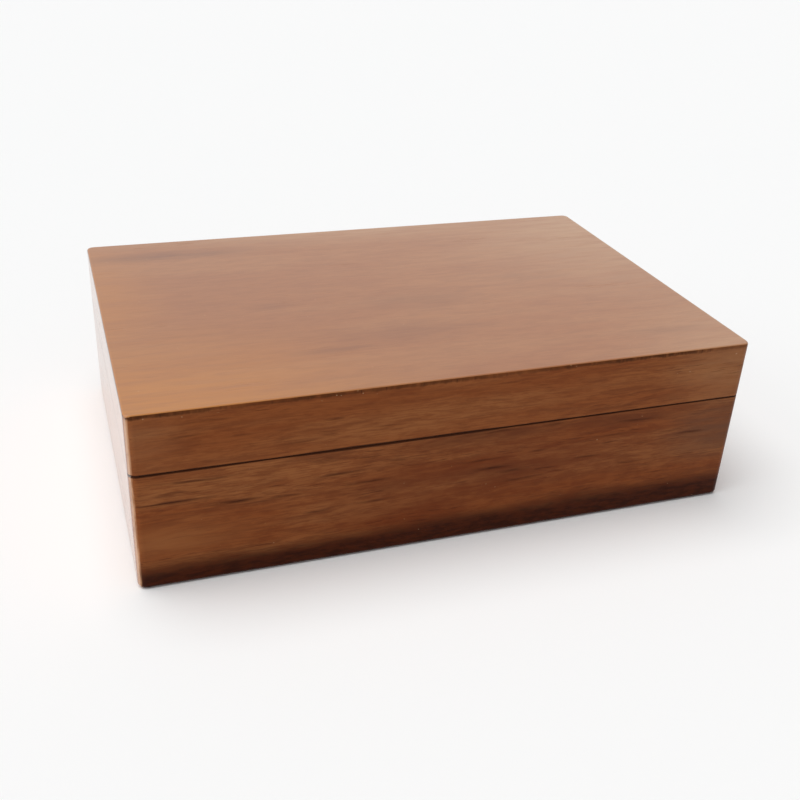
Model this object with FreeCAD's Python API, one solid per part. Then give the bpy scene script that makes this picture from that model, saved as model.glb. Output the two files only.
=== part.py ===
import FreeCAD, Part
import math
import os

# Shogi piece box: a mitred hardwood box with a lift-off lid.
# Four walls are mitred at the corners, with a loose tongue hidden in each mitre, and the floor
# sits in a rebate, flush with the underside. Four lining strips stand on the floor against the
# walls and rise above the rim as the lip that the lid fits over. The lid has four rails, as thick
# as the walls, and a top board that is mitred to them all round, so that no joint shows on a face.
# Millimetres. +X is the length, -Y the front, +Z up, and the origin is the middle of the underside.

# Outside sizes
length = 150.0
depth = 100.0
box_height = 29.5
lid_height = 14.5

# Boards
wall = 6.0
floor_thickness = 4.0
floor_rebate = 3.0
top_thickness = 5.5
lining = 2.5

# Fits: all round between the lip and the lid, over the lip, and the glue film round a floor
# or a tongue
lid_clearance = 0.25
lip_headroom = 3.5
glue_film = 0.05

# Rounded corners and eased arrises
corner_radius = 2.0
underside_radius = 1.2
top_radius = 0.5
rim_radius = 0.3
lip_outer_ease = 0.9
lip_inner_ease = 0.4
lid_mouth_ease = 0.5

# Loose tongues: the wood left between one and the faces of its boards, and how far its ends
# stop short of the boards' edges
tongue_thickness = 1.5
tongue_cover = 1.0
tongue_stop = 1.5

# Heights and half sizes that follow
total_height = box_height + lid_height
top_underside = total_height - top_thickness
lip_top = top_underside - lip_headroom
half_length = length / 2
half_depth = depth / 2
inner_half_length = half_length - wall
inner_half_depth = half_depth - wall

# A tongue stands square across the mitre, midway in the wall, and fills it up to its cover
tongue_width = math.sqrt(2) * (wall - 2 * tongue_cover) - tongue_thickness

NEGLIGIBLE = 1e-6
UP = FreeCAD.Vector(0, 0, 1)
OUTWARD = {
    "front": FreeCAD.Vector(0, -1, 0),
    "back": FreeCAD.Vector(0, 1, 0),
    "left": FreeCAD.Vector(-1, 0, 0),
    "right": FreeCAD.Vector(1, 0, 0),
}
CORNERS = {
    "front_left": (-1, -1),
    "front_right": (1, -1),
    "back_left": (-1, 1),
    "back_right": (1, 1),
}


def face_through(points):
    return Part.Face(Part.makePolygon(points + points[:1]))


def block(half_x, half_y, low, high):
    corner = FreeCAD.Vector(-half_x, -half_y, low)
    return Part.makeBox(2 * half_x, 2 * half_y, high - low, corner)


def edges_at(shape, height):
    """The edges that lie flat at one height."""
    return [e for e in shape.Edges if all(abs(v.Z - height) < NEGLIGIBLE for v in e.Vertexes)]


def rounded_block(low, high, low_radius, high_radius):
    """The outside form of the box or the lid, with round corners and eased arrises."""
    form = block(half_length, half_depth, low, high)
    upright = [e for e in form.Edges if e.BoundBox.ZLength > NEGLIGIBLE]
    form = form.makeFillet(corner_radius, upright)
    form = form.makeFillet(low_radius, edges_at(form, low))
    return form.makeFillet(high_radius, edges_at(form, high))


def mitred_side(side, section, half_x, half_y):
    """One side of a mitred frame whose outside is half_x by half_y from the middle.

    The section is a list of points, each a distance in from the outside face and a height. It is
    run along the side and cut at 45 degrees at both ends.
    """
    out = OUTWARD[side]
    along = UP.cross(out)
    to_face = abs(out.x) * half_x + abs(out.y) * half_y
    half_run = abs(out.x) * half_y + abs(out.y) * half_x
    start = out * to_face - along * half_run
    points = [start - out * inward + UP * height for inward, height in section]
    board = face_through(points).extrude(along * 2 * half_run)

    reach = max(inward for inward, height in section)
    low = min(height for inward, height in section)
    high = max(height for inward, height in section)
    plan = [
        start,
        start + along * 2 * half_run,
        start + along * (2 * half_run - reach) - out * reach,
        start + along * reach - out * reach,
    ]
    wedge = face_through([point + UP * low for point in plan]).extrude(UP * (high - low))
    return board.common(wedge)


def tongue(corner, low, high, grown=0.0):
    """A loose tongue across the mitre at one corner, or its groove when grown by the glue film."""
    sign_x, sign_y = CORNERS[corner]
    set_in = wall / 2
    middle = FreeCAD.Vector(sign_x * (half_length - set_in), sign_y * (half_depth - set_in), 0)
    in_mitre = FreeCAD.Vector(sign_x, sign_y, 0).normalize() * (tongue_thickness / 2 + grown)
    across = FreeCAD.Vector(sign_x, -sign_y, 0).normalize() * (tongue_width / 2 + grown)
    plan = [
        middle + in_mitre + across,
        middle + in_mitre - across,
        middle - in_mitre - across,
        middle - in_mitre + across,
    ]
    foot = face_through([point + UP * (low - grown) for point in plan])
    return foot.extrude(UP * (high - low + 2 * grown))


def box_tongue(corner, grown=0.0):
    return tongue(corner, floor_thickness + tongue_stop, box_height - tongue_stop, grown)


def lid_tongue(corner, grown=0.0):
    return tongue(corner, box_height + tongue_stop, top_underside - tongue_stop, grown)


def without_grooves(board, side, tongue_maker):
    """The board with the tongue grooves cut into its two mitred ends."""
    for corner in CORNERS:
        if side in corner:
            board = board.cut(tongue_maker(corner, glue_film))
    return board


def box_wall(side):
    rebated = wall - floor_rebate
    section = [
        (0, 0),
        (rebated, 0),
        (rebated, floor_thickness),
        (wall, floor_thickness),
        (wall, box_height),
        (0, box_height),
    ]
    board = mitred_side(side, section, half_length, half_depth)
    board = without_grooves(board, side, box_tongue)
    return board.common(rounded_block(0, box_height, underside_radius, rim_radius))


def floor_board():
    reach = floor_rebate - glue_film
    return block(inner_half_length + reach, inner_half_depth + reach, 0, floor_thickness)


def lining_strip(side):
    """A strip that lines a wall and stands above the rim, stepped in there to clear the lid."""
    section = [
        (0, floor_thickness),
        (0, box_height),
        (lid_clearance, box_height),
        (lid_clearance, lip_top - lip_outer_ease),
        (lid_clearance + lip_outer_ease, lip_top),
        (lining - lip_inner_ease, lip_top),
        (lining, lip_top - lip_inner_ease),
        (lining, floor_thickness),
    ]
    return mitred_side(side, section, inner_half_length, inner_half_depth)


def lid_form():
    return rounded_block(box_height, total_height, rim_radius, top_radius)


def mitred_top():
    """The lid's top board before its arrises are eased: every edge slopes in at 45 degrees."""
    foot = total_height - wall
    slope = [(0, foot), (wall, foot), (0, total_height)]
    slopes = [mitred_side(side, slope, half_length, half_depth) for side in OUTWARD]
    mitred = block(half_length, half_depth, foot, total_height).cut(slopes)
    field = block(inner_half_length, inner_half_depth, box_height, total_height)
    return mitred.fuse(field).common(block(half_length, half_depth, top_underside, total_height))


def top_board():
    return mitred_top().removeSplitter().common(lid_form())


def lid_rail(side):
    """A rail whose inside lower arris is eased, to lead the lid onto the lip."""
    section = [
        (0, box_height),
        (wall - lid_mouth_ease, box_height),
        (wall, box_height + lid_mouth_ease),
        (wall, total_height),
        (0, total_height),
    ]
    board = mitred_side(side, section, half_length, half_depth).cut(mitred_top())
    board = without_grooves(board, side, lid_tongue)
    return board.common(lid_form())


def make_parts():
    parts = {"floor": floor_board(), "lid_top": top_board()}
    for side in OUTWARD:
        parts[side + "_wall"] = box_wall(side)
        parts[side + "_lining"] = lining_strip(side)
        parts["lid_" + side + "_rail"] = lid_rail(side)
    for corner in CORNERS:
        parts["box_tongue_" + corner] = box_tongue(corner)
        parts["lid_tongue_" + corner] = lid_tongue(corner)
    return parts


def write_parts(parts):
    os.makedirs("parts", exist_ok=True)
    for name, shape in parts.items():
        Part.makeCompound(shape.Solids).exportStep("parts/" + name + ".step")
        print(name, len(shape.Solids), "solid,", round(shape.Volume), "mm3, valid", shape.isValid())


write_parts(make_parts())
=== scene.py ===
from collections import namedtuple
import math

import bpy
from bpy.props import FloatProperty, FloatVectorProperty, PointerProperty
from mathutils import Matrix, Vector


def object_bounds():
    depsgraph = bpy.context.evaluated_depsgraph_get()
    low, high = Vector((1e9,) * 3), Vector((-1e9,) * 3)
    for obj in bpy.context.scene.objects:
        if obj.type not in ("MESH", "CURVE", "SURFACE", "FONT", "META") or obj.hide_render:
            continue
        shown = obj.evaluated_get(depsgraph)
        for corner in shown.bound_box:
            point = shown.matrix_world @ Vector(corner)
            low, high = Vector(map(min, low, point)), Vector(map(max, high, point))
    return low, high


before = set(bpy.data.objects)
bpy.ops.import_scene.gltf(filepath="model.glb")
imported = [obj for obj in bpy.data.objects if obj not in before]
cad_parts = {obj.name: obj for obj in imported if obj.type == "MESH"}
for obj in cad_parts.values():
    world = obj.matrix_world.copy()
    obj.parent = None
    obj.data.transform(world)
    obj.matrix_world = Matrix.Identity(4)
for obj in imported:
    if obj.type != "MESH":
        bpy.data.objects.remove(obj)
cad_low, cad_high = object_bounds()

# A shogi piece box of oiled walnut: the finish of every board, the light and the camera.
# Metres, in the same frame as the construction: +X length, -Y front, +Z up. The places and sizes
# of marks in the wood are in millimetres, which MM turns into metres.

bl_info = {
    "name": "Shogi Piece Box",
    "version": (1, 0, 0),
    "blender": (4, 5, 0),
    "location": "View3D > Sidebar > Piece Box",
    "description": "Finishes a mitred walnut piece box and sets its stage",
    "category": "Object",
}

MM = 0.001

BODIES = ("box", "lid")
CORNERS = ("front_left", "front_right", "back_left", "back_right")

# Heights on the box, and where its front edge is, in millimetres
JOINT_LINE = 29.5
LID_UNDERSIDE = 38.5
TOP_EDGE = 44
HEART_LINE = 6.3
FRONT_EDGE = -50

# How much the heartwood's line rises for each length along the board
HEART_RISE = 0.012

# Which way a board lies: the axes of the frame that its length, width and thickness run along
LYING = "XYZ"
FACING_FRONT = "XZY"
FACING_SIDE = "YZX"
ALONG, ACROSS, THROUGH = range(3)

# A face says how a board lies and takes the light. Outside is how far out its outside face is, and
# the last field is where the painted light on the front left corner starts, both in millimetres.
Face = namedtuple("Face", "lie roughness gloss coat outside worn_end", defaults=(0.0, None, None))
PLAIN_GLOSS = 0.3
COAT_ROUGHNESS = 0.16
SIDES = {
    "front": Face(FACING_FRONT, 0.36, 0.07, outside=50, worn_end=-73.95),
    "back": Face(FACING_FRONT, 0.36, PLAIN_GLOSS, outside=50),
    "left": Face(FACING_SIDE, 0.16, 1.0, coat=0.55, outside=75, worn_end=-48.7),
    "right": Face(FACING_SIDE, 0.36, PLAIN_GLOSS, outside=75),
}

# How far apart in the log two boards are sawn, so that no two show the same figure, and the first
# cut of each group of boards
LOG_STEP = Vector((0.37, 0.11, 0.23))
TOP_CUT = 1
FIRST_RAIL_CUT = 2
FIRST_WALL_CUT = 6
FLOOR_CUT = 10
FIRST_LINING_CUT = 11

# Tints over the walnut's own colours
OILED = (0.94, 0.90, 0.88)
SUNNED = (1.12, 1.30, 1.5)
SANDED = (1.10, 1.12, 1.15)

# The stage: the floor's side and the nearest thing that the camera sees, in metres, and the width
# of its sensor in millimetres
FLOOR_SIZE = 8
NEAREST_SEEN = 0.01
SENSOR_WIDTH = 36

# How far the pores darken the wood, and what pores and fibre add to its roughness and relief
PORE_STAIN = 0.70
PORE_ROUGHNESS = 0.25
FIBRE_ROUGHNESS = 0.10
FIBRE_RELIEF = 0.20
RELIEF_STRENGTH = 0.5

# Kinds of marks that lie all over the wood: how long and wide they are, the levels of noise at
# which they start to show and show in full, and how fine and rough that noise is
Marks = namedtuple("Marks", "long wide start full detail rough", defaults=(2.0, 0.5))
BROAD_FIGURE = Marks(60, 8, 0.36, 0.64)
STREAKS = Marks(24, 1.2, 0.45, 0.72, detail=3.0, rough=0.6)
FIBRE_LINES = Marks(6, 0.40, 0.42, 0.66, rough=0.6)
MOTTLE = Marks(8, 2.0, 0.42, 0.62, detail=4.0, rough=0.7)
PATCH_EDGES = Marks(16, 1.8, 0.25, 0.65, detail=3.0, rough=0.6)
PORES = Marks(6, 0.34, 0.58, 0.72, detail=1.0)
DASH_EDGES = Marks(6, 0.7, 0.30, 0.60)
HEART_FIBRE = Marks(4, 1.0, 0.35, 0.65, detail=3.0, rough=0.7)
JOINT_SHADE_EDGES = Marks(18, 18, 0.35, 0.65)
CORNER_LIGHT_SPOTS = Marks(5, 5, 0.35, 0.58, detail=3.0, rough=0.6)
ARRIS_GLINTS = Marks(0.7, 0.7, 0.83, 0.87, detail=0.0)
DUST = Marks(0.9, 0.7, 0.88, 0.91, detail=0.0)
TONGUE_FIBRE = Marks(8, 0.4, 0.3, 0.7)

# The zones of open pores, how much sooner they start where all of the board has pores, and how
# strong the pores in them are
PORE_ZONES = Marks(30, 5, 0.62, 0.80, detail=1.0)
ZONE_GROWTH = 0.3
ZONE_STRENGTH = 0.7

# The finer layers of the figure, with the colour and the strength of each
FINE_FIGURE = (
    (MOTTLE, "red", 0.42),
    (STREAKS, "dark", 0.30),
    (FIBRE_LINES, "dark", 0.42),
)

# Marks that change only along an arris, so that their width says nothing
ARRIS_EDGES = Marks(4.5, 1, 0.30, 0.70, detail=3.0, rough=0.7)
ARRIS_STRETCHES = Marks(30, 1, 0.35, 0.60, detail=1.0)
ARRIS_BREAKS = Marks(2.2, 1, 0.35, 0.55, detail=3.0, rough=0.7)
NICKS = Marks(1.1, 1, 0.64, 0.70, detail=1.0)

# Where nicks, painted glints, the painted shade at the joint and the darkened arris start to show, and
# where they show in full. The first three are in millimetres from an edge or face, and the last two
# are shares of the place's own width.
NICK_REACH = (1.3, 0.8)
GLINT_REACH = (2.2, 0.8)
RIM_SHADE_REACH = (1.9, 0.8)
JOINT_SHADE_FADE = (1.25, 0.75)
ARRIS_FADE = (1.3, 0.7)

# How wide the painted shade is each side of the joint, what its wider spot adds to it, and how wide
# the darkened arris is, in millimetres
JOINT_SHADE_WIDTH = (0.24, 0.36)
SHADE_SPOT_WIDTH = 0.16
ARRIS_WIDTH = (0.70, 1.15)

# Marks placed one by one, each a middle, a reach along and across the grain, and a strength, which
# the wider spot of the joint's painted shade lacks. The patches stand under the names of their
# colours.
JOINT_SHADE_SPOT = ((-17, JOINT_LINE), (26, 20))
WALL_DASHES = {
    "front": (
        ((-67, 22.2), (14, 0.50), 1.0),
        ((-53, 19.9), (8.5, 0.80), 1.0),
        ((-42, 19.2), (7, 0.45), 0.9),
        ((-61, 27.1), (12.5, 0.55), 0.9),
        ((-66, 24.4), (6.5, 0.40), 0.6),
        ((-29, 23.0), (11.5, 0.50), 0.8),
        ((-22, 19.6), (9.5, 0.60), 0.8),
        ((-22, 14.4), (8.5, 0.50), 0.8),
        ((-35, 13.9), (4.5, 0.35), 0.7),
        ((-15, 24.2), (4.5, 0.50), 0.7),
        ((7, 28.2), (11, 0.70), 0.9),
        ((8, 18.0), (7, 0.65), 0.9),
        ((6, 20.6), (8.5, 0.50), 0.7),
        ((16, 14.0), (7, 0.55), 0.7),
        ((13, 16.6), (5, 0.60), 0.8),
        ((24.5, 28.0), (6, 0.80), 0.9),
        ((20, 21.3), (3.5, 0.50), 0.8),
        ((33, 17.6), (7, 0.45), 0.6),
        ((40, 22.6), (8.5, 0.45), 0.6),
        ((46, 26.0), (10, 0.60), 0.7),
        ((45, 14.0), (6, 0.45), 0.6),
        ((62, 20.5), (7, 0.70), 0.8),
    ),
}
LID_DASHES = {
    "front": (
        ((-31, 37.3), (4, 0.50), 1.0),
        ((-58, 40.6), (8.5, 0.40), 0.6),
        ((-62, 37.6), (7, 0.40), 0.6),
        ((-50, 36.2), (8.5, 0.35), 0.5),
        ((-39, 32.6), (7, 0.40), 0.6),
        ((-18, 34.0), (7, 0.40), 0.6),
        ((5, 37.2), (11.5, 0.45), 0.5),
        ((10, 41.4), (7, 0.40), 0.4),
        ((37, 31.3), (10, 0.45), 0.5),
        ((52, 34.4), (7, 0.45), 0.4),
    ),
}
# Painted light: the whole left side is paler, standing in for the bright light on it at a grazing
# angle.
LEFT_SIDE_SHEEN = {
    "painted_sheen": (
        ((0, 22), (150, 80), 0.55),
    ),
}
WALL_PATCHES = {
    "front": {
        "light": (
            ((-68, 12), (26, 7), 0.8),
        ),
        "red": (
            ((12, 18), (66, 14), 0.75),
            ((8, 15), (30, 9), 0.60),
            ((-13, 10), (32, 11), 0.70),
        ),
        "ash": (
            ((70, 21.0), (22, 13.0), 0.95),
        ),
        "dark": (
            ((10, 17.5), (24, 4.0), 0.55),
            ((44, 28.0), (26, 3.6), 1.0),
            ((6, 27.8), (34, 3.0), 1.0),
            ((-32, 28.2), (12, 2.0), 0.6),
            ((-18, 18.0), (15, 3.0), 0.4),
        ),
    },
    "left": LEFT_SIDE_SHEEN,
}
LID_PATCHES = {
    "front": {
        # Painted sheen at the two ends of the lid's front rail
        "painted_sheen": (
            ((72, 38), (26, 14), 0.55),
            ((-73, 38), (14, 12), 0.25),
        ),
    },
    "left": LEFT_SIDE_SHEEN,
}
TOP_PATCHES = {
    "amber": (
        ((-75, -55), (80, 60), 0.9),
        ((-78, 10), (26, 70), 0.5),
    ),
    # Painted sheen on the back and the right of the top, and at its front right corner
    "painted_sheen": (
        ((10, 56), (130, 22), 0.9),
        ((84, 45), (80, 95), 0.75),
        ((82, -52), (50, 44), 0.55),
    ),
    "dark": (
        ((-54, 38.5), (36, 5.0), 0.70),
        ((-24, -30), (16, 2.6), 0.40),
        ((-34, -2), (10, 4.0), 0.25),
        ((4, -6), (24, 10.0), 0.32),
        ((-6, -24), (30, 9.0), 0.32),
        ((40, 3), (16, 5.0), 0.22),
        ((58, -38), (18, 3.0), 0.35),
    ),
}


# Settings

class WoodSettings(bpy.types.PropertyGroup):
    light: FloatVectorProperty(
        name="Light brown", description="Colour of the palest wood",
        default=(0.36, 0.132, 0.042), subtype="COLOR", min=0, max=1)
    middle: FloatVectorProperty(
        name="Middle brown", description="Colour of most of the wood",
        default=(0.29, 0.083, 0.021), subtype="COLOR", min=0, max=1)
    dark: FloatVectorProperty(
        name="Dark brown", description="Colour of the darker growth",
        default=(0.145, 0.040, 0.013), subtype="COLOR", min=0, max=1)
    red: FloatVectorProperty(
        name="Red brown", description="Colour of the deep red patches",
        default=(0.160, 0.030, 0.006), subtype="COLOR", min=0, max=1)
    pore: FloatVectorProperty(
        name="Pore brown", description="Colour inside the open pores",
        default=(0.060, 0.015, 0.005), subtype="COLOR", min=0, max=1)
    heart: FloatVectorProperty(
        name="Heartwood", description="Colour of the dark heartwood band",
        default=(0.039, 0.0072, 0.0017), subtype="COLOR", min=0, max=1)
    rubbed: FloatVectorProperty(
        name="Rubbed arris", description="Colour of the darkened arrises",
        default=(0.085, 0.024, 0.005), subtype="COLOR", min=0, max=1)
    # Painted shade: the near-black colour painted along the joint, where the gap between lid and base
    # is shaded.
    painted_shade: FloatVectorProperty(
        name="Joint dirt", description="Colour of the dirt along the joint",
        default=(0.030, 0.0060, 0.001), subtype="COLOR", min=0, max=1)
    # Painted light: this pale colour on the front left corner stands in for the light from the left on
    # it.
    bare: FloatVectorProperty(
        name="Bare corner", description="Colour where the corner is rubbed bare",
        default=(0.62, 0.34, 0.19), subtype="COLOR", min=0, max=1)
    amber: FloatVectorProperty(
        name="Amber", description="Colour of the warmer part of the top",
        default=(0.44, 0.142, 0.018), subtype="COLOR", min=0, max=1)
    # Painted sheen and light: this paler, greyer brown stands in for reflections on the top and light
    # on the left side.
    painted_sheen: FloatVectorProperty(
        name="Faded brown", description="Colour of wood that light has faded",
        default=(0.43, 0.215, 0.100), subtype="COLOR", min=0, max=1)
    ash: FloatVectorProperty(
        name="Ash brown", description="Colour of the greyer sapwood",
        default=(0.170, 0.070, 0.035), subtype="COLOR", min=0, max=1)
    # This pale colour is also painted as glints along the rails' top arrises.
    pale: FloatVectorProperty(
        name="Pale wood", description="Colour of bare wood, on the tongues and where it is worn",
        default=(0.52, 0.31, 0.17), subtype="COLOR", min=0, max=1)
    inside_roughness: FloatProperty(
        name="Inside roughness", description="Roughness of the sanded inside faces",
        default=0.55, min=0, max=1)
    relief: FloatProperty(
        name="Relief", description="Depth of the open pores",
        default=0.00008, min=0, max=0.001, precision=5, unit="LENGTH")


class StageSettings(bpy.types.PropertyGroup):
    camera_place: FloatVectorProperty(
        name="Camera place", description="Where the camera stands",
        default=(-0.08483, -0.2359, 0.14742), subtype="TRANSLATION", unit="LENGTH", precision=5)
    camera_turn: FloatVectorProperty(
        name="Camera turn", description="How the camera is turned",
        default=tuple(math.radians(a) for a in (61.56, -2.652, -18.893)), subtype="EULER")
    camera_lens: FloatProperty(
        name="Focal length", description="Focal length in millimetres on a 36 mm sensor",
        default=46.2, min=1)
    sky: FloatProperty(
        name="Soft light", description="Level of the even light from all round",
        default=0.21, min=0)
    sky_seen: FloatProperty(
        name="Backdrop", description="Level of the backdrop as the camera and the gloss see it",
        default=1.0, min=0)
    lamp: FloatProperty(
        name="Lamp", description="Strength of the large lamp behind and above",
        default=2.24, min=0)
    lamp_size: FloatProperty(
        name="Lamp size", description="How wide the lamp looks from the box",
        default=math.radians(56), subtype="ANGLE")
    lamp_height: FloatProperty(
        name="Lamp height", description="Angle of the lamp above the floor",
        default=math.radians(76), subtype="ANGLE")
    lamp_bearing: FloatProperty(
        name="Lamp bearing", description="Bearing of the lamp, from straight behind towards the left",
        default=math.radians(76), subtype="ANGLE")
    fill: FloatProperty(
        name="Fill", description="Strength of the low fill light from the left, which casts no shadow",
        default=1.0, min=0)
    fill_size: FloatProperty(
        name="Fill size", description="How wide the fill light looks from the box",
        default=math.radians(60), subtype="ANGLE")
    fill_height: FloatProperty(
        name="Fill height", description="Angle of the fill light above the floor",
        default=math.radians(16), subtype="ANGLE")
    fill_bearing: FloatProperty(
        name="Fill bearing", description="Bearing of the fill, from straight behind towards the left",
        default=math.radians(88), subtype="ANGLE")
    floor_colour: FloatVectorProperty(
        name="Floor", description="Colour of the plain floor",
        default=(0.957, 0.960, 0.960), subtype="COLOR", min=0, max=1)


def wood():
    return bpy.context.scene.piece_box_wood


def stage():
    return bpy.context.scene.piece_box_stage


# Shader nodes

def node(tree, kind, inputs=None, **settings):
    """A shader node with its settings, its inputs linked to sockets or set to values."""
    made = tree.nodes.new("ShaderNode" + kind)
    for name, value in settings.items():
        setattr(made, name, value)
    for key, value in (inputs or {}).items():
        if isinstance(value, bpy.types.NodeSocket):
            tree.links.new(value, made.inputs[key])
        else:
            made.inputs[key].default_value = value
    return made


def sums(tree, operation, first, second=0.0):
    return node(tree, "Math", {0: first, 1: second}, operation=operation).outputs[0]


def plus(tree, first, second):
    return sums(tree, "ADD", first, second)


def minus(tree, first, second):
    return sums(tree, "SUBTRACT", first, second)


def times(tree, first, second):
    return sums(tree, "MULTIPLY", first, second)


def vector_sums(tree, operation, first, second):
    return node(tree, "VectorMath", {0: first, 1: second}, operation=operation).outputs[0]


def fade(tree, value, start, end, low=0.0, high=1.0):
    """Goes smoothly from low to high as the value goes from start to end."""
    inputs = {"Value": value, "From Min": start, "From Max": end, "To Min": low, "To Max": high}
    return node(tree, "MapRange", inputs, interpolation_type="SMOOTHSTEP").outputs["Result"]


def fade_in(tree, distance, reach, high=1.0):
    """Fades in from the first reach to the second, which are distances in millimetres."""
    return fade(tree, distance, reach[0] * MM, reach[1] * MM, 0.0, high)


def opaque(colour):
    """The colour as a socket or, where it is three numbers, with an alpha of one."""
    return colour if isinstance(colour, bpy.types.NodeSocket) else (*colour, 1.0)


def blend_colour(tree, amount, first, second):
    """The first colour turning into the second. A Mix node's sockets for colours are 6, 7 and 2."""
    inputs = {0: amount, 6: opaque(first), 7: opaque(second)}
    return node(tree, "Mix", inputs, data_type="RGBA").outputs[2]


def noise(tree, place, long, wide, detail=2.0, rough=0.5):
    """Noise drawn out with the grain, in streaks about this long and wide in millimetres."""
    stretch = (1 / (long * MM), 1 / (wide * MM), 1 / (wide * MM))
    scaled = vector_sums(tree, "MULTIPLY", place, stretch)
    inputs = {"Vector": scaled, "Scale": 1.0, "Detail": detail, "Roughness": rough}
    return node(tree, "TexNoise", inputs).outputs["Fac"]


def marks(tree, place, kind, low=0.0, high=1.0):
    """Goes from low, where the wood has no marks of that kind, to high, where they show in full."""
    level = noise(tree, place, kind.long, kind.wide, kind.detail, kind.rough)
    return fade(tree, level, kind.start, kind.full, low, high)


def wave(tree, place, long, wide, height, detail=2.0, rough=0.5):
    """Swings by up to half the height either way, in waves about this long and wide."""
    return times(tree, minus(tree, noise(tree, place, long, wide, detail, rough), 0.5), height * MM)


# Places on a board

def along_board(tree, lie):
    """Places on the board as length, width and thickness, from the frame's own axes."""
    place = node(tree, "TexCoord").outputs["Object"]
    split = node(tree, "SeparateXYZ", {0: place})
    return node(tree, "CombineXYZ", {i: split.outputs[axis] for i, axis in enumerate(lie)}).outputs[0]


def part_of(tree, place, axis):
    return node(tree, "SeparateXYZ", {0: place}).outputs[axis]


def spot(tree, place, middle, reach):
    """A soft long spot: 1 at its middle, 0 past its reach along and across."""
    apart = vector_sums(tree, "SUBTRACT", place, (middle[0] * MM, middle[1] * MM, 0))
    shaped = vector_sums(tree, "MULTIPLY", apart, (1 / (reach[0] * MM), 1 / (reach[1] * MM), 0))
    distance = node(tree, "VectorMath", {0: shaped}, operation="LENGTH").outputs["Value"]
    return fade(tree, distance, 1.0, 0.0)


def spots(tree, place, places):
    """Several spots together, each as strong as it says. The strongest counts where two meet."""
    total = 0.0
    for middle, reach, strength in places:
        total = sums(tree, "MAXIMUM", times(tree, spot(tree, place, middle, reach), strength), total)
    return total


# Walnut

def wander(tree, log):
    """How far the grain is pushed across the board there, as real grain wanders."""
    slow = wave(tree, log, 70, 22, height=3, detail=1.0)
    quick = wave(tree, log, 16, 5, height=0.9)
    push = plus(tree, slow, quick)
    return node(tree, "CombineXYZ", {ACROSS: push, THROUGH: push}).outputs[0]


def figure(tree, board, grain, depth, patches):
    """The wood's own colour: broad figure, finer streaks and fibre, and the placed patches."""
    colours = wood()
    broad = marks(tree, grain, BROAD_FIGURE, 0.5 - depth / 2, 0.5 + depth / 2)
    colour = blend_colour(tree, broad, colours.middle, colours.light)
    for kind, name, strength in FINE_FIGURE:
        amount = marks(tree, grain, kind, 0.0, strength * depth)
        colour = blend_colour(tree, amount, colour, getattr(colours, name))
    ragged = marks(tree, grain, PATCH_EDGES, 0.45, 1.0)
    for name, places in patches.items():
        shade = times(tree, spots(tree, board, places), ragged)
        colour = blend_colour(tree, shade, colour, getattr(colours, name))
    return colour


def open_pores(tree, board, grain, push, share, dashes):
    """Where pores are open: 1 inside the widest.

    They lie in zones, which grow with their share of the board, and in the dashes, which are
    pushed with the grain.
    """
    sooner = ZONE_GROWTH * share
    zones = PORE_ZONES._replace(start=PORE_ZONES.start - sooner, full=PORE_ZONES.full - sooner)
    pore = times(tree, marks(tree, grain, PORES), marks(tree, grain, zones, 0.0, ZONE_STRENGTH))
    if dashes:
        pushed = vector_sums(tree, "ADD", board, push)
        ragged = marks(tree, grain, DASH_EDGES, 0.45, 1.4)
        pore = sums(tree, "MAXIMUM", pore, times(tree, spots(tree, pushed, dashes), ragged))
    return pore


def heartwood(tree, board, grain, colour, line):
    """Turns the wood below a wavy line, which rises a little, to dark heartwood."""
    uneven = wave(tree, grain, 26, 10, height=4, detail=3.0, rough=0.6)
    rise = times(tree, part_of(tree, board, ALONG), HEART_RISE)
    height = minus(tree, plus(tree, part_of(tree, board, ACROSS), uneven), rise)
    heart = fade_in(tree, height, (line + 2.4, line - 2.8))
    fibre = marks(tree, grain, HEART_FIBRE, 0.0, 0.30)
    return blend_colour(tree, heart, colour, blend_colour(tree, fibre, wood().heart, wood().red))


def paint_joint_shade(tree, board, colour, outside):
    """Paints shade on both sides of the joint between lid and base, unevenly, and wider at one spot.

    On the rims it reaches only a little way in from the outside face.
    """
    narrow, wide = JOINT_SHADE_WIDTH
    width = plus(tree, marks(tree, board, JOINT_SHADE_EDGES, narrow * MM, wide * MM),
                 times(tree, spot(tree, board, *JOINT_SHADE_SPOT), SHADE_SPOT_WIDTH * MM))
    away = sums(tree, "ABSOLUTE", minus(tree, part_of(tree, board, ACROSS), JOINT_LINE * MM))
    painted_shade = fade(tree, sums(tree, "DIVIDE", away, width), *JOINT_SHADE_FADE, 0.0, 0.9)
    starts, full = RIM_SHADE_REACH
    out = sums(tree, "ABSOLUTE", part_of(tree, board, THROUGH))
    painted_shade = times(tree, painted_shade, fade_in(tree, out, (outside - starts, outside - full)))
    return blend_colour(tree, painted_shade, colour, wood().painted_shade)


def arris_wear_and_glints(tree, board, colour, edge):
    """Darkens a rail along its top arris, unevenly, with nicks, and paints a few pale glints on it."""
    inward = minus(tree, edge * MM, part_of(tree, board, ACROSS))
    along = node(tree, "CombineXYZ", {0: part_of(tree, board, ALONG)}).outputs[0]
    narrow, wide = ARRIS_WIDTH
    width = marks(tree, along, ARRIS_EDGES, narrow * MM, wide * MM)
    strength = times(tree, marks(tree, along, ARRIS_STRETCHES, 0.45, 1.0),
                     marks(tree, along, ARRIS_BREAKS, 0.5, 1.0))
    dark = times(tree, fade(tree, sums(tree, "DIVIDE", inward, width), *ARRIS_FADE), strength)
    colour = blend_colour(tree, dark, colour, wood().rubbed)

    nick = times(tree, marks(tree, along, NICKS), fade_in(tree, inward, NICK_REACH))
    colour = blend_colour(tree, nick, colour, wood().pore)
    # Painted glints: pale flecks along the arris that stand in for highlights
    glint = times(tree, marks(tree, board, ARRIS_GLINTS), fade_in(tree, inward, GLINT_REACH, 0.8))
    return blend_colour(tree, glint, colour, wood().pale)


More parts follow.
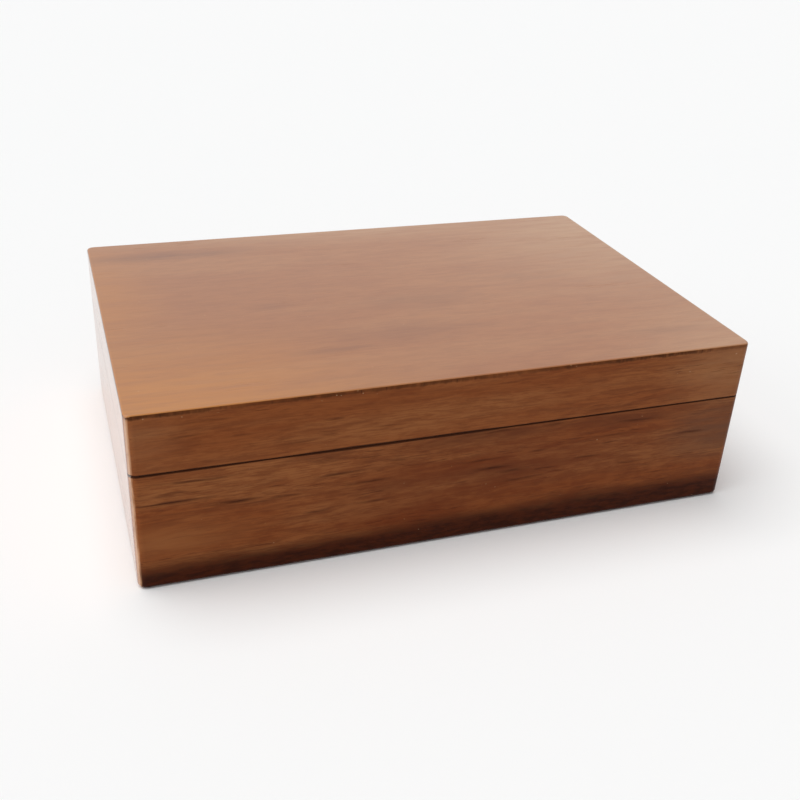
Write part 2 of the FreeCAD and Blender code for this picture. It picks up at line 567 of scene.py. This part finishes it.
def paint_corner_light(tree, board, colour, start):
    """Paints light on the end at the box's front left corner in places: a pale colour for the lit
    corner.
    """
    ragged = wave(tree, board, 1.2, 3.0, height=0.30)
    place = plus(tree, part_of(tree, board, ALONG), ragged)
    bare = fade_in(tree, place, (start, start - 0.4), 0.9)
    bare = times(tree, bare, marks(tree, board, CORNER_LIGHT_SPOTS, 0.45, 1.0))
    return blend_colour(tree, bare, colour, wood().bare)


def top_roughness(tree, board):
    """How much rougher the top board is on its front arris and its underside, inside the lid."""
    inward = minus(tree, part_of(tree, board, ACROSS), FRONT_EDGE * MM)
    arris = fade_in(tree, inward, (0.6, 0.3), 0.5)
    height = part_of(tree, board, THROUGH)
    underside = fade_in(tree, height, (LID_UNDERSIDE + 1.0, LID_UNDERSIDE + 0.2), 0.35)
    return plus(tree, arris, underside)


def new_material(name):
    """A material with nodes, and its shader."""
    material = bpy.data.materials.new(name)
    material.use_nodes = True
    return material, material.node_tree.nodes["Principled BSDF"]


def link_surface(shader, colour, roughness, height, relief, sunk):
    """Links the shader's colour, roughness and relief, which is sunk into the wood or raised."""
    tree = shader.id_data
    inputs = {"Height": height, "Strength": RELIEF_STRENGTH, "Distance": relief}
    bump = node(tree, "Bump", inputs, invert=sunk)
    tree.links.new(colour, shader.inputs["Base Color"])
    tree.links.new(roughness, shader.inputs["Roughness"])
    tree.links.new(bump.outputs[0], shader.inputs["Normal"])


def walnut(name, cut, face, depth=1.0, pores=0.5, tint=OILED, dashes=None, patches=None,
           heart_line=None, top_arris=None, top_board=False):
    """Oiled walnut in the round: the figure runs through the board and over its arrises.

    The cut is the board's place in the log. Depth is how strong its figure is, and pores is the
    share of it that has open pores. Dashes and patches are the listed marks. The heart
    line and the top arris are heights in millimetres.
    """
    material, shader = new_material("walnut " + name)
    tree = material.node_tree
    board = along_board(tree, face.lie)
    log = vector_sums(tree, "ADD", board, tuple(LOG_STEP * cut))
    push = wander(tree, log)
    grain = vector_sums(tree, "ADD", log, push)
    pore = open_pores(tree, board, grain, push, pores, dashes)
    fibre = noise(tree, grain, 10, 0.30)

    colour = figure(tree, board, grain, depth, patches or {})
    colour = blend_colour(tree, times(tree, pore, PORE_STAIN * depth), colour, wood().pore)
    colour = vector_sums(tree, "MULTIPLY", colour, tint)
    if heart_line:
        colour = heartwood(tree, board, grain, colour, heart_line)
    # Painted light on the front left corner
    if face.worn_end:
        colour = paint_corner_light(tree, board, colour, face.worn_end)
    if top_arris:
        colour = arris_wear_and_glints(tree, board, colour, top_arris)
    # Painted shade along the joint between lid and base
    if face.outside:
        colour = paint_joint_shade(tree, board, colour, face.outside)
    colour = blend_colour(tree, marks(tree, board, DUST, 0.0, 0.55), colour, wood().pale)

    worn = plus(tree, times(tree, pore, PORE_ROUGHNESS), times(tree, fibre, FIBRE_ROUGHNESS))
    if top_board:
        worn = plus(tree, worn, top_roughness(tree, board))
    roughness = plus(tree, worn, face.roughness - FIBRE_ROUGHNESS / 2)
    hollow = plus(tree, pore, times(tree, fibre, FIBRE_RELIEF))
    link_surface(shader, colour, roughness, hollow, wood().relief, sunk=True)
    shader.inputs["Specular IOR Level"].default_value = face.gloss
    shader.inputs["Coat Weight"].default_value = face.coat
    shader.inputs["Coat Roughness"].default_value = COAT_ROUGHNESS
    return material


def tongue_wood():
    """Bare planed wood, paler than the boards."""
    material, shader = new_material("bare tongue wood")
    tree = material.node_tree
    fibre = marks(tree, along_board(tree, FACING_SIDE), TONGUE_FIBRE)
    colour = blend_colour(tree, times(tree, fibre, 0.3), wood().pale, wood().light)
    roughness = plus(tree, times(tree, fibre, 0.15), 0.6)
    link_surface(shader, colour, roughness, fibre, wood().relief / 2, sunk=False)
    return material


def finish_node(name, material):
    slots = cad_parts[name].data.materials
    slots.clear()
    slots.append(material)


# Stage

def lay_floor():
    bpy.ops.mesh.primitive_plane_add(size=FLOOR_SIZE, location=(0, 0, cad_low.z))
    floor = bpy.context.object
    floor.name = "stage_floor"
    material, shader = new_material("pale floor")
    shader.inputs["Base Color"].default_value = opaque(stage().floor_colour)
    shader.inputs["Roughness"].default_value = 0.9
    shader.inputs["Specular IOR Level"].default_value = 0.0
    floor.data.materials.append(material)


def light_sky():
    """Even light from all round, with a white backdrop for the camera and the gloss to see."""
    world = bpy.data.worlds.new("soft room")
    bpy.context.scene.world = world
    world.use_nodes = True
    tree = world.node_tree
    path = node(tree, "LightPath")
    seen = sums(tree, "MAXIMUM", path.outputs["Is Camera Ray"], path.outputs["Is Glossy Ray"])
    seen = sums(tree, "MAXIMUM", seen, path.outputs["Is Transmission Ray"])
    level = fade(tree, seen, 0.0, 1.0, stage().sky, stage().sky_seen)
    tree.links.new(level, tree.nodes["Background"].inputs["Strength"])
    tree.nodes["Background"].inputs["Color"].default_value = (1, 1, 1, 1)


def hang_lamp(name, strength, size, height, bearing, shadow=True):
    """A distant lamp. Its size, its height above the floor and its bearing are angles."""
    bpy.ops.object.light_add(type="SUN", location=(0, 0, 1))
    lamp = bpy.context.object
    lamp.name = name
    lamp.data.energy = strength
    lamp.data.angle = size
    lamp.data.use_shadow = shadow
    level = math.cos(height)
    towards = Vector((-math.sin(bearing) * level, math.cos(bearing) * level, math.sin(height)))
    lamp.rotation_euler = towards.to_track_quat("Z", "Y").to_euler()


def place_camera():
    bpy.ops.object.camera_add(location=stage().camera_place, rotation=stage().camera_turn)
    camera = bpy.context.object
    camera.data.sensor_width = SENSOR_WIDTH
    camera.data.lens = stage().camera_lens
    camera.data.clip_start = NEAREST_SEEN
    bpy.context.scene.camera = camera
    bpy.context.scene.view_settings.view_transform = "Standard"


# Operators

class PIECEBOX_OT_lid_top(bpy.types.Operator):
    """Finish the lid's top board: pale, quiet figure with a few soft clouds"""
    bl_idname = "piecebox.lid_top"
    bl_label = "Finish Lid Top"

    def execute(self, context):
        face = Face(LYING, roughness=0.32, gloss=0.7)
        finish_node("lid_top", walnut("lid top", TOP_CUT, face, depth=0.35, pores=0.15, tint=SUNNED,
                                      patches=TOP_PATCHES, top_board=True))
        return {"FINISHED"}


class PIECEBOX_OT_lid_rails(bpy.types.Operator):
    """Finish the lid's four rails: fine straight grain with short pores"""
    bl_idname = "piecebox.lid_rails"
    bl_label = "Finish Lid Rails"

    def execute(self, context):
        for cut, (side, face) in enumerate(SIDES.items(), FIRST_RAIL_CUT):
            finish_node("lid_" + side + "_rail",
                        walnut("lid rail " + side, cut, face, depth=0.8, pores=0.45,
                               dashes=LID_DASHES.get(side), patches=LID_PATCHES.get(side),
                               top_arris=TOP_EDGE))
        return {"FINISHED"}


class PIECEBOX_OT_walls(bpy.types.Operator):
    """Finish the base's four walls: open pores, and dark heartwood along the front's foot"""
    bl_idname = "piecebox.walls"
    bl_label = "Finish Walls"

    def execute(self, context):
        for cut, (side, face) in enumerate(SIDES.items(), FIRST_WALL_CUT):
            finish_node(side + "_wall",
                        walnut("wall " + side, cut, face, pores=0.6,
                               dashes=WALL_DASHES.get(side), patches=WALL_PATCHES.get(side),
                               heart_line=HEART_LINE if side == "front" else None))
        return {"FINISHED"}


class PIECEBOX_OT_floor_board(bpy.types.Operator):
    """Finish the floor board, seen inside and from below"""
    bl_idname = "piecebox.floor_board"
    bl_label = "Finish Floor Board"

    def execute(self, context):
        face = Face(LYING, wood().inside_roughness, PLAIN_GLOSS)
        finish_node("floor", walnut("floor", FLOOR_CUT, face, tint=SANDED))
        return {"FINISHED"}


class PIECEBOX_OT_linings(bpy.types.Operator):
    """Finish the four lining strips that make the lip"""
    bl_idname = "piecebox.linings"
    bl_label = "Finish Linings"

    def execute(self, context):
        for cut, (side, outside) in enumerate(SIDES.items(), FIRST_LINING_CUT):
            face = Face(outside.lie, wood().inside_roughness, PLAIN_GLOSS)
            finish_node(side + "_lining", walnut("lining " + side, cut, face, depth=0.8, pores=0.4))
        return {"FINISHED"}


class PIECEBOX_OT_tongues(bpy.types.Operator):
    """Finish the loose tongues that are hidden in the mitres"""
    bl_idname = "piecebox.tongues"
    bl_label = "Finish Tongues"

    def execute(self, context):
        material = tongue_wood()
        for corner in CORNERS:
            for body in BODIES:
                finish_node(body + "_tongue_" + corner, material)
        return {"FINISHED"}


class PIECEBOX_OT_stage(bpy.types.Operator):
    """Set the plain floor, the soft light and the camera"""
    bl_idname = "piecebox.stage"
    bl_label = "Set Stage"

    def execute(self, context):
        lay_floor()
        light_sky()
        light = stage()
        hang_lamp("large lamp", light.lamp, light.lamp_size, light.lamp_height, light.lamp_bearing)
        hang_lamp("low fill", light.fill, light.fill_size, light.fill_height, light.fill_bearing,
                  shadow=False)
        place_camera()
        return {"FINISHED"}


class PIECEBOX_PT_panel(bpy.types.Panel):
    """The piece box's settings and the steps that finish it"""
    bl_label = "Piece Box"
    bl_idname = "PIECEBOX_PT_panel"
    bl_space_type = "VIEW_3D"
    bl_region_type = "UI"
    bl_category = "Piece Box"

    def draw(self, context):
        for step in STEPS:
            self.layout.operator(step.bl_idname)
        for settings in (wood(), stage()):
            box = self.layout.box()
            for name in settings.__annotations__:
                box.prop(settings, name)


STEPS = (
    PIECEBOX_OT_lid_top,
    PIECEBOX_OT_lid_rails,
    PIECEBOX_OT_walls,
    PIECEBOX_OT_floor_board,
    PIECEBOX_OT_linings,
    PIECEBOX_OT_tongues,
    PIECEBOX_OT_stage,
)
CLASSES = (WoodSettings, StageSettings, *STEPS, PIECEBOX_PT_panel)


def register():
    for one in CLASSES:
        bpy.utils.register_class(one)
    bpy.types.Scene.piece_box_wood = PointerProperty(type=WoodSettings)
    bpy.types.Scene.piece_box_stage = PointerProperty(type=StageSettings)


def unregister():
    del bpy.types.Scene.piece_box_stage
    del bpy.types.Scene.piece_box_wood
    for one in reversed(CLASSES):
        bpy.utils.unregister_class(one)


def main():
    register()
    bpy.ops.piecebox.lid_top()
    bpy.ops.piecebox.lid_rails()
    bpy.ops.piecebox.walls()
    bpy.ops.piecebox.floor_board()
    bpy.ops.piecebox.linings()
    bpy.ops.piecebox.tongues()
    bpy.ops.piecebox.stage()


if __name__ == "__main__":
    main()
